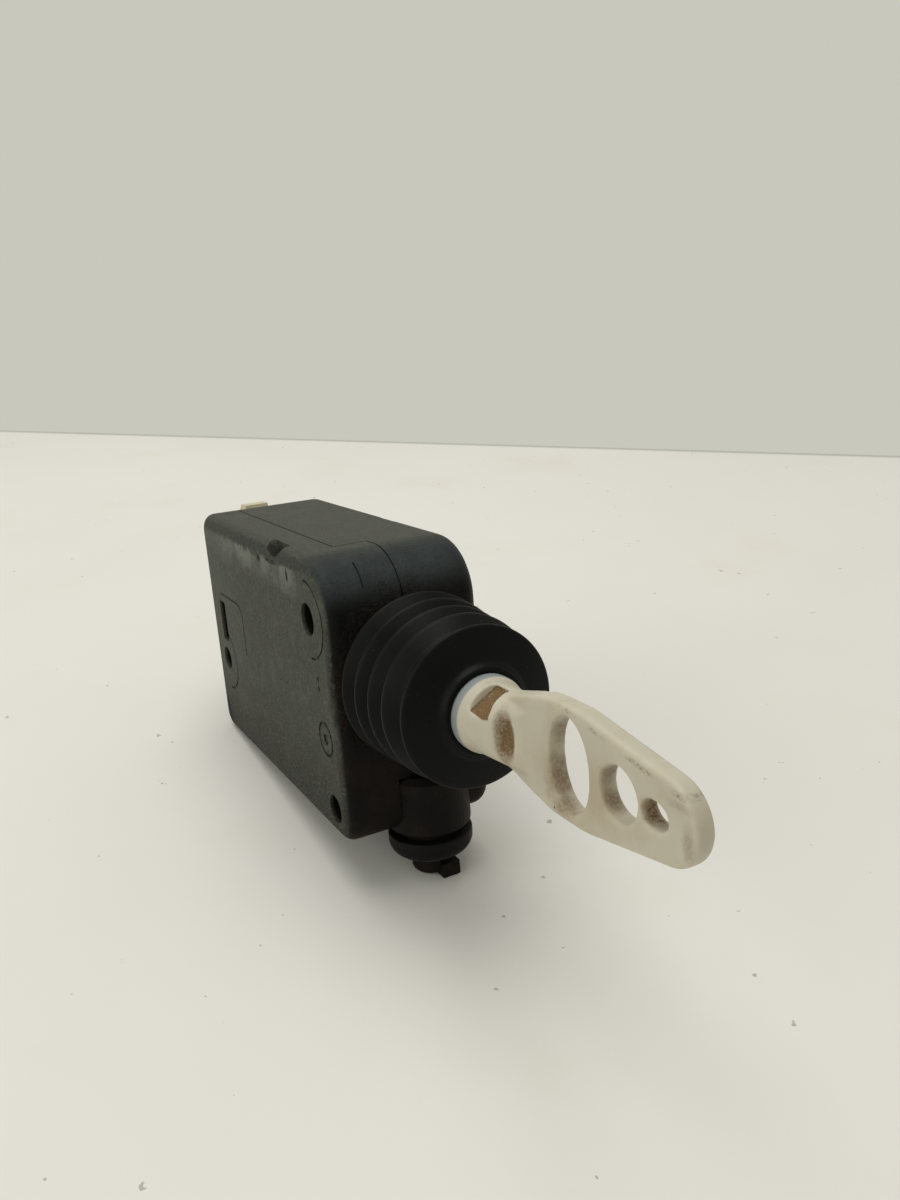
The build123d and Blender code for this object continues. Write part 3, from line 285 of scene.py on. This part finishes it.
def plain_finish(name, first, second, rough_low, rough_high, metal, scale, grain_depth,
                 stretch=(1, 1, 1), gloss=0.5):
    """A finish of two close tones clouded together, with its own gloss and fine grain."""
    material, tree, shader = new_material(name)
    cloud = noise(tree, scale, 5.0, 0.6, stretch)
    tree.links.new(mixed(tree, cloud, linear(*first), linear(*second)),
                   shader.inputs["Base Color"])
    tree.links.new(ramp(tree, cloud, 0.25, 0.75, rough_low, rough_high),
                   shader.inputs["Roughness"])
    shader.inputs["Metallic"].default_value = metal
    shader.inputs["Specular IOR Level"].default_value = gloss
    relief(tree, shader, noise(tree, scale * 9.0, 3.0, 0.6, stretch), grain_depth)
    return material


plated_steel = plain_finish("plated_steel", (150, 152, 150), (186, 188, 184), 0.28, 0.42, 1.0,
                            240.0, 0.00002)
dress("motor_can", plated_steel)
bearing_plastic = plain_finish("bearing_plastic", (30, 31, 32), (44, 45, 45), 0.40, 0.55, 0.0,
                               300.0, 0.00002)
dress("motor_end_bell", bearing_plastic)
dress("rod_guide_bush", bearing_plastic)
ferrite = plain_finish("ferrite", (48, 48, 50), (66, 66, 67), 0.60, 0.78, 0.0, 700.0, 0.00004)
dress("motor_magnets", ferrite)
laminated_steel = plain_finish("laminated_steel", (104, 102, 98), (140, 138, 132), 0.38, 0.52,
                               1.0, 90.0, 0.00004, (1, 1, 22))
dress("armature_core", laminated_steel)
bronze = plain_finish("sintered_bronze", (140, 108, 66), (172, 136, 86), 0.42, 0.60, 1.0,
                      900.0, 0.00003)
dress("motor_bearings", bronze)
dress("motor_pinion", bronze)
carbon = plain_finish("brush_carbon", (30, 30, 31), (46, 46, 47), 0.45, 0.65, 0.2, 900.0,
                      0.00003)
dress("motor_brushes", carbon)
tinned_brass = plain_finish("tinned_brass", (176, 166, 128), (200, 194, 170), 0.26, 0.40, 1.0,
                            400.0, 0.00001)
dress("brush_arms", tinned_brass)
copper = plain_finish("enamelled_copper", (150, 78, 44), (188, 104, 60), 0.24, 0.36, 1.0,
                      220.0, 0.00006, (1, 1, 14))
dress("armature_windings", copper)
dress("commutator", copper)
ground_steel = plain_finish("ground_steel", (150, 150, 148), (190, 190, 187), 0.20, 0.34, 1.0,
                            260.0, 0.00002, (1, 1, 6))
dress("motor_shaft", ground_steel)

# Gear train: wheel and small gear in one natural acetal moulding on a pressed-in steel axle,
# and the rack in the same plastic, cross-pinned to the steel rod.
acetal = plain_finish("acetal", (205, 202, 190), (226, 223, 212), 0.34, 0.46, 0.0, 160.0,
                      0.00002)
dress("drive_gear", acetal)
dress("rack", acetal)
dress("gear_axle", ground_steel)
rod_steel = plain_finish("rod_steel", (140, 140, 138), (182, 182, 179), 0.22, 0.36, 1.0,
                         260.0, 0.00002, (6, 1, 1))
dress("push_rod", rod_steel)
dress("rod_pin", rod_steel)

# Travel bumpers: two black rubber stops, one at each end of the rack's stroke, seated in the
# case.
stop_rubber = plain_finish("stop_rubber", (30, 30, 30), (42, 42, 42), 0.62, 0.80, 0.0, 500.0,
                           0.00004)
dress("travel_bumpers", stop_rubber)

# Connector: a cream moulding with a latch ramp, keyed in the rear wall, with two tinned blades
# and the strips that lead down to the motor.
connector_plastic = plain_finish("connector_plastic", (186, 176, 150), (206, 197, 172), 0.42,
                                 0.56, 0.0, 180.0, 0.00003)
dress("connector_body", connector_plastic)
dress("connector_terminals", tinned_brass)
dress("supply_strips", tinned_brass)

# Screws: four zinc-plated cross-head screws, driven into wells from the main case's side.
# They stay as modelled and take only their finish.
screw_zinc = plain_finish("screw_zinc", (150, 150, 146), (190, 190, 184), 0.26, 0.42, 1.0,
                          900.0, 0.00002)
dress("case_screws", screw_zinc)

# Grommet: a ring of black rubber on the locating peg's neck. It stays as modelled and is
# held by the peg's foot.
grommet_rubber = plain_finish("grommet_rubber", (10, 10, 10), (18, 18, 17), 0.42, 0.62, 0.0,
                              420.0, 0.00005, gloss=0.1)
dress("peg_grommet", grommet_rubber)

# Boot: a bellows of black rubber with five rounded pleats and a domed front disc. Its root
# grips the neck of the case and its lip sits in the groove of the link end's collar.


def turned(profile, around):
    """A surface turned about the rod's line: profile gives (x, radius) pairs in metres, and
    each point becomes a ring of points at (x, radius cos a, radius sin a)."""
    profile = np.asarray(profile, float)
    angle = np.linspace(0.0, 2.0 * np.pi, around, endpoint=False)
    grid = np.empty((len(profile), around, 3))
    grid[:, :, 0] = profile[:, :1]
    grid[:, :, 1] = profile[:, 1:] * np.cos(angle)
    grid[:, :, 2] = profile[:, 1:] * np.sin(angle)
    return grid


def ring_faces(rows, around, close_rows):
    """Four-cornered faces between each ring of points and the next, the last ring joined to
    the first where the section is closed."""
    row = np.arange(rows if close_rows else rows - 1)[:, None]
    column = np.arange(around)[None, :]
    next_row = (row + 1) % rows
    next_column = (column + 1) % around
    corners = [row * around + column, row * around + next_column,
               next_row * around + next_column, next_row * around + column]
    return np.stack([np.broadcast_to(c, (len(row), around)) for c in corners], -1).reshape(-1, 4)


def make_piece(name, points, faces, material, smooth=True, measures=None):
    """A mesh object from points in metres and faces, with one material, and with any measures
    given as one number to the point kept on it by name."""
    mesh = bpy.data.meshes.new(name)
    mesh.from_pydata(points.reshape(-1, 3).tolist(), [], faces.tolist())
    mesh.materials.append(material)
    mesh.polygons.foreach_set("use_smooth", np.full(len(mesh.polygons), smooth))
    for title, values in (measures or {}).items():
        kept = mesh.attributes.new(title, "FLOAT", "POINT")
        kept.data.foreach_set("value", np.asarray(values, np.float32).ravel())
    mesh.update()
    piece = bpy.data.objects.new(name, mesh)
    bpy.context.scene.collection.objects.link(piece)
    return piece


def rounded_section(corners, radii, steps):
    """A closed outline through corners, each rounded by an arc-like curve: the corner is
    replaced by a quadratic blend between the two points one radius before and after it."""
    corners = np.asarray(corners, float)
    before = np.roll(corners, 1, axis=0) - corners
    after = np.roll(corners, -1, axis=0) - corners
    before_length = np.linalg.norm(before, axis=1)
    after_length = np.linalg.norm(after, axis=1)
    reach = np.minimum(np.asarray(radii), 0.48 * np.minimum(before_length, after_length))
    start = corners + before / before_length[:, None] * reach[:, None]
    end = corners + after / after_length[:, None] * reach[:, None]
    t = np.linspace(0.0, 1.0, steps)[None, :, None]
    curve = (1 - t) ** 2 * start[:, None] + 2 * t * (1 - t) * corners[:, None] \
        + t ** 2 * end[:, None]
    return curve.reshape(-1, 2)


def measure(tree, title):
    """A number kept on the piece's points, such as how near a crest a point is."""
    node = tree.nodes.new("ShaderNodeAttribute")
    node.attribute_name = title
    return node.outputs["Fac"]


boot_rubber, tree, shader = new_material("boot_rubber")
bloom = noise(tree, 150.0, 5.0, 0.6)
crest = measure(tree, "crest")
rubber = mixed(tree, bloom, linear(6, 7, 7), linear(12, 13, 13))
# Painted shade: the rubber is darkened down into the pleat valleys.
rubber = mixed(tree, ramp(tree, crest, 0.85, 0.15, 0.0, 0.8), rubber, linear(5, 5, 5))
# Painted highlight and wear: the pleat crests are lightened to a bluish grey, for the light they
# catch as well as for rubbing.
crest_highlight_and_wear = product(tree, ramp(tree, crest, 0.88, 0.985),
                 ramp(tree, bloom, 0.25, 0.70, 0.5, 1.0))
rubber = mixed(tree, product(tree, crest_highlight_and_wear, 0.9), rubber, linear(92, 99, 102))
dust = ramp(tree, noise(tree, 2400.0, 2.0, 0.5), 0.74, 0.79)
rubber = mixed(tree, product(tree, dust, 0.5), rubber, linear(96, 98, 92))
tree.links.new(rubber, shader.inputs["Base Color"])
tree.links.new(ramp(tree, bloom, 0.25, 0.75, 0.36, 0.50), shader.inputs["Roughness"])
shader.inputs["Specular IOR Level"].default_value = 0.1
relief(tree, shader, noise(tree, 1500.0, 3.0, 0.6), 0.00003)

mm = 0.001
boot_ridges = np.array(((2.9, 17.0), (8.0, 16.6), (12.6, 16.1), (17.8, 15.8), (24.2, 15.2)))
valley_x = (boot_ridges[:-1, 0] + boot_ridges[1:, 0]) / 2
valley_depth, wall = 2.6, 1.1
root_end, disc_start = 2.0, 24.55
valley_radius = (boot_ridges[:-1, 1] + boot_ridges[1:, 1]) / 2 - valley_depth
outside = [(0.05, 14.6), (1.9, 14.6), (boot_ridges[0, 0], boot_ridges[0, 1])]
outside_round = [0.3, 0.5, 0.9]
inside = [(3.5, 12.55)]
inside_round = [0.1]
for place in range(4):
    outside += [(valley_x[place], valley_radius[place]), tuple(boot_ridges[place + 1])]
    outside_round += [1.0, 0.9]
    inside += [(valley_x[place], valley_radius[place] - wall),
               (boot_ridges[place + 1, 0] - wall / 2, boot_ridges[place + 1, 1] - 1.9 * wall)]
    inside_round += [0.8, 0.8]
outside_round[-1] = 1.1
outside += [(25.0, 11.9), (25.6, 8.7), (27.0, 7.9), (27.0, 6.95), (26.35, 6.95), (26.35, 6.25),
            (24.65, 6.25), (24.65, 6.95)]
outside_round += [2.0, 1.8, 0.4, 0.2, 0.1, 0.1, 0.1, 0.1]
inside += [(24.65, 9.1)]
inside_round += [0.3]
root = [(3.5, 12.55), (2.25, 12.55), (2.25, 11.65), (0.05, 11.65)]
corners = outside + inside[:0:-1] + root
radii = outside_round + inside_round[:0:-1] + [0.05, 0.05, 0.05, 0.2]
arc_steps = 7
section = rounded_section(corners, radii, arc_steps)
at_x = section[:, 0]
crest_line = np.interp(at_x, boot_ridges[:, 0], boot_ridges[:, 1])
nearness = np.clip(1.0 - (crest_line - section[:, 1]) / valley_depth, 0.0, 1.0)
plain_nearness = 0.6
nearness[(at_x < root_end) | (at_x > disc_start)] = plain_nearness
around = 160
boot_skin = make_piece("boot_bellows", turned(section * mm, around),
                       ring_faces(len(section), around, True)[:, ::-1], boot_rubber,
                       measures={"crest": np.repeat(nearness, around)})
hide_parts("boot")
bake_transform(boot_skin)

# Link end: moulded in natural nylon, gone beige, with a bluish collar, a scooped neck and three
# windows in its blade. Every edge is soft, and dried grease fills the scoops and the windows.


def moulded_copy(node, name, grid, rounds, soft_from, soft_rounds, material):
    """A node's surface with its doubles merged, laid out again on a fine even grid and then
    relaxed: each point moves half way to the middle of its neighbours, so many times over, and
    more times where its X lies beyond soft_from."""
    mesh = nodes[node].data.copy()
    knit = bmesh.new()
    knit.from_mesh(mesh)
    bmesh.ops.remove_doubles(knit, verts=knit.verts, dist=0.000001)
    knit.to_mesh(mesh)
    knit.free()
    cut_piece = bpy.data.objects.new(name, mesh)
    bpy.context.scene.collection.objects.link(cut_piece)
    even = cut_piece.modifiers.new("even_grid", "REMESH")
    even.mode = "VOXEL"
    even.voxel_size = grid
    relax = cut_piece.modifiers.new("soft_edges", "SMOOTH")
    relax.factor = 0.5
    relax.iterations = rounds
    settled = cut_piece.evaluated_get(bpy.context.evaluated_depsgraph_get())
    rough_piece = bpy.data.objects.new(name, bpy.data.meshes.new_from_object(settled))
    bpy.context.scene.collection.objects.link(rough_piece)
    spots = np.empty(3 * len(rough_piece.data.vertices))
    rough_piece.data.vertices.foreach_get("co", spots)
    beyond = rough_piece.vertex_groups.new(name="beyond")
    beyond.add(np.flatnonzero(spots[::3] > soft_from).tolist(), 1.0, "REPLACE")
    softer = rough_piece.modifiers.new("softer_edges", "SMOOTH")
    softer.factor = 0.5
    softer.iterations = soft_rounds
    softer.vertex_group = "beyond"
    settled = rough_piece.evaluated_get(bpy.context.evaluated_depsgraph_get())
    smooth_mesh = bpy.data.meshes.new_from_object(settled)
    bpy.data.objects.remove(cut_piece)
    bpy.data.objects.remove(rough_piece)
    smooth_mesh.name = name
    smooth_mesh.materials.clear()
    smooth_mesh.materials.append(material)
    smooth_mesh.polygons.foreach_set("use_smooth", np.full(len(smooth_mesh.polygons), True))
    piece = bpy.data.objects.new(name, smooth_mesh)
    bpy.context.scene.collection.objects.link(piece)
    return piece


link_nylon, tree, shader = new_material("link_nylon")
x, y, z = axes(tree)
cloud = noise(tree, 90.0, 5.0, 0.6)
nylon = mixed(tree, cloud, linear(172, 165, 145), linear(199, 193, 175))
collar = product(tree, ramp(tree, x, 0.0290, 0.0286), ramp(tree, x, 0.0266, 0.0270))
nylon = mixed(tree, collar, nylon, linear(136, 142, 142))
soiled = ramp(tree, noise(tree, 160.0, 5.0, 0.65), 0.45, 0.75)
nylon = mixed(tree, product(tree, soiled, 0.28), nylon, linear(164, 150, 118))
film = spot(tree, (0.0560, -0.0017, -0.0020), (0.0170, 0.0030, 0.0100), 0.9, 0.3, 200.0)
nylon = mixed(tree, product(tree, film, 0.55), nylon, linear(154, 138, 106))
grit = noise(tree, 2300.0, 6.0, 0.75)
stains = None
stain_patches = (
    ((0.0379, -0.0029, -0.0003), (0.0028, 0.0032, 0.0062), 1.5),
    ((0.0379, 0.0029, 0.0), (0.0028, 0.0032, 0.0062), 1.5),
    ((0.0488, 0.0000, -0.0040), (0.0032, 0.0034, 0.0060), 0.8),
    ((0.0494, 0.0004, 0.0040), (0.0024, 0.0028, 0.0048), 0.7),
    ((0.0515, -0.0008, -0.0074), (0.0042, 0.0028, 0.0028), 0.7),
    ((0.0614, 0.0002, 0.0020), (0.0016, 0.0024, 0.0034), 0.8),
    ((0.0622, 0.0002, -0.0026), (0.0030, 0.0024, 0.0026), 0.8),
    ((0.0716, 0.0004, -0.0004), (0.0036, 0.0026, 0.0028), 1.4),
    ((0.0794, -0.0017, -0.0014), (0.0016, 0.0008, 0.0042), 0.45),
    ((0.0780, -0.0017, 0.0034), (0.0030, 0.0008, 0.0010), 0.30),
)
for centre, sizes, strength in stain_patches:
    patch = spot(tree, centre, sizes, 0.85, 0.4, 600.0)
    patch = product(tree, patch, strength)
    stains = patch if stains is None else math(tree, "MAXIMUM", stains, patch)
pocket_x, pocket_cos, pocket_sin = 0.0330, 0.866, 0.5
pocket_level = math(tree, "ADD", product(tree, y, -pocket_sin), product(tree, z, pocket_cos))
in_pocket = product(tree, ramp(tree, pocket_level, 0.0053, 0.0050),
                    ramp(tree, pocket_level, 0.0040, 0.0044))
along_pocket = math(tree, "ABSOLUTE", math(tree, "SUBTRACT", x, pocket_x))
in_pocket = product(tree, in_pocket, ramp(tree, along_pocket, 0.0024, 0.0021))
across_pocket = math(tree, "ADD", product(tree, y, pocket_cos), product(tree, z, pocket_sin))
across_pocket = math(tree, "ABSOLUTE", across_pocket)
in_pocket = product(tree, in_pocket, ramp(tree, across_pocket, 0.0033, 0.0030))
stains = math(tree, "MAXIMUM", stains, product(tree, in_pocket, 1.4))
speckle = ramp(tree, grit, 0.34, 0.60, 0.5, 1.0)
stains = math(tree, "MINIMUM", product(tree, stains, speckle), 1.0)
nylon = mixed(tree, stains, nylon, linear(108, 82, 46))
along = product(tree, math(tree, "SUBTRACT", x, 0.056), 0.165)
trail = math(tree, "ABSOLUTE", math(tree, "ADD", math(tree, "SUBTRACT", z, 0.0084), along))
trail = product(tree, ramp(tree, trail, 0.0006, 0.0001), ramp(tree, x, 0.0500, 0.0540))
trail = product(tree, trail, ramp(tree, grit, 0.42, 0.58))
trail = product(tree, trail, ramp(tree, noise(tree, 170.0, 3.0, 0.5), 0.48, 0.60))
nylon = mixed(tree, product(tree, trail, 0.6), nylon, linear(96, 84, 62))
dot = spot(tree, (0.0493, -0.0017, -0.0082), (0.00022, 0.0006, 0.00022), 0.3)
nylon = mixed(tree, dot, nylon, linear(30, 24, 18))
tree.links.new(nylon, shader.inputs["Base Color"])
tree.links.new(ramp(tree, cloud, 0.25, 0.75, 0.42, 0.54), shader.inputs["Roughness"])
shader.inputs["Specular IOR Level"].default_value = 0.35
shader.inputs["Subsurface Weight"].default_value = 0.35
shader.inputs["Subsurface Radius"].default_value = (1.0, 0.85, 0.62)
shader.inputs["Subsurface Scale"].default_value = 0.003
relief(tree, shader, noise(tree, 600.0, 4.0, 0.55), 0.00005)
link_grid, link_rounds = 0.00027, 6
blade_from_x, blade_rounds = 0.0440, 22
link_end = moulded_copy("end_fitting", "link_end", link_grid, link_rounds, blade_from_x,
                        blade_rounds, link_nylon)
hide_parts("end_fitting")
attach(link_end, "rod")

# Floor: a pale, slightly soiled table top that ends in a straight edge behind the unit. The unit
# rests on its rear bottom edge and the peg's barb, so the table slopes when the rod is level.
slope = 0.1511
rest_x, rest_z = 0.0012, -0.0448
edge_middle = np.array([-0.330, 0.186])
edge_run = np.array([0.583, 0.813])
edge_in = np.array([0.813, -0.583])
half_edge, table_depth = 3.0, 3.5
left_end = edge_middle - half_edge * edge_run
right_end = edge_middle + half_edge * edge_run
floor_corners = np.array([left_end, left_end + table_depth * edge_in,
                          right_end + table_depth * edge_in, right_end])
floor_points = np.column_stack([floor_corners, rest_z - slope * (floor_corners[:, 0] - rest_x)])
floor_paint, tree, shader = new_material("table_top")
x, y, z = axes(tree)
across_x = product(tree, math(tree, "ADD", x, -float(edge_middle[0])), float(edge_in[0]))
across_y = product(tree, math(tree, "SUBTRACT", y, float(edge_middle[1])), float(edge_in[1]))
from_edge = math(tree, "ADD", across_x, across_y)
tone = mixed(tree, noise(tree, 7.0, 5.0, 0.6), linear(219, 216, 207), linear(229, 227, 219))
warm = ramp(tree, noise(tree, 16.0, 4.0, 0.6), 0.5, 0.75)
tone = mixed(tree, product(tree, warm, 0.35), tone, linear(214, 208, 194))
crumb = ramp(tree, noise(tree, 330.0, 2.0, 0.4), 0.765, 0.79)
tone = mixed(tree, product(tree, crumb, 0.55), tone, linear(120, 114, 102))
# Painted shadow: a darker strip along the table's far edge stands in for the shade where the table
# meets the wall behind.
painted_edge_shadow = ramp(tree, from_edge, 0.006, 0.002)
tone = mixed(tree, product(tree, painted_edge_shadow, 0.6), tone, linear(150, 150, 142))
tree.links.new(tone, shader.inputs["Base Color"])
shader.inputs["Roughness"].default_value = 0.7
shader.inputs["Specular IOR Level"].default_value = 0.25
floor = make_piece("table_top", floor_points, np.array([[0, 1, 2, 3]]), floor_paint, False)

# Light: a broad panel overhead, a larger and farther one on the cover's side, and a pale room all
# round, which the camera, gloss and glass see in its own plain colour.


def soft_lamp(name, place, aim, size, power):
    """A square area lamp at place, facing aim."""
    lamp = bpy.data.lights.new(name, "AREA")
    lamp.size = size
    lamp.energy = power
    lit = bpy.data.objects.new(name, lamp)
    bpy.context.scene.collection.objects.link(lit)
    lit.location = place
    lit.rotation_mode = "QUATERNION"
    lit.rotation_quaternion = (Vector(aim) - Vector(place)).to_track_quat("-Z", "Y")


soft_lamp("ceiling_panel", (-0.02, -0.04, 0.95), (0.0, 0.0, 0.0), 0.8, 5.8)
soft_lamp("side_window", (0.25, -2.40, 0.95), (0.0, 0.0, 0.0), 2.2, 18.5)
world = bpy.data.worlds.new("pale_room")
bpy.context.scene.world = world
world.use_nodes = True
tree = world.node_tree
room_light = tree.nodes["Background"]
room_light.inputs["Color"].default_value = linear(201, 201, 195)
room_light.inputs["Strength"].default_value = 0.78
wall_seen = tree.nodes.new("ShaderNodeBackground")
wall_seen.inputs["Color"].default_value = linear(200, 200, 188)
path = tree.nodes.new("ShaderNodeLightPath")
seen = math(tree, "MAXIMUM", path.outputs["Is Camera Ray"],
            math(tree, "MAXIMUM", path.outputs["Is Glossy Ray"],
                 path.outputs["Is Transmission Ray"]))
choice = tree.nodes.new("ShaderNodeMixShader")
tree.links.new(seen, choice.inputs[0])
tree.links.new(room_light.outputs[0], choice.inputs[1])
tree.links.new(wall_seen.outputs[0], choice.inputs[2])
tree.links.new(choice.outputs[0], tree.nodes["World Output"].inputs["Surface"])
bpy.context.scene.view_settings.view_transform = "Standard"
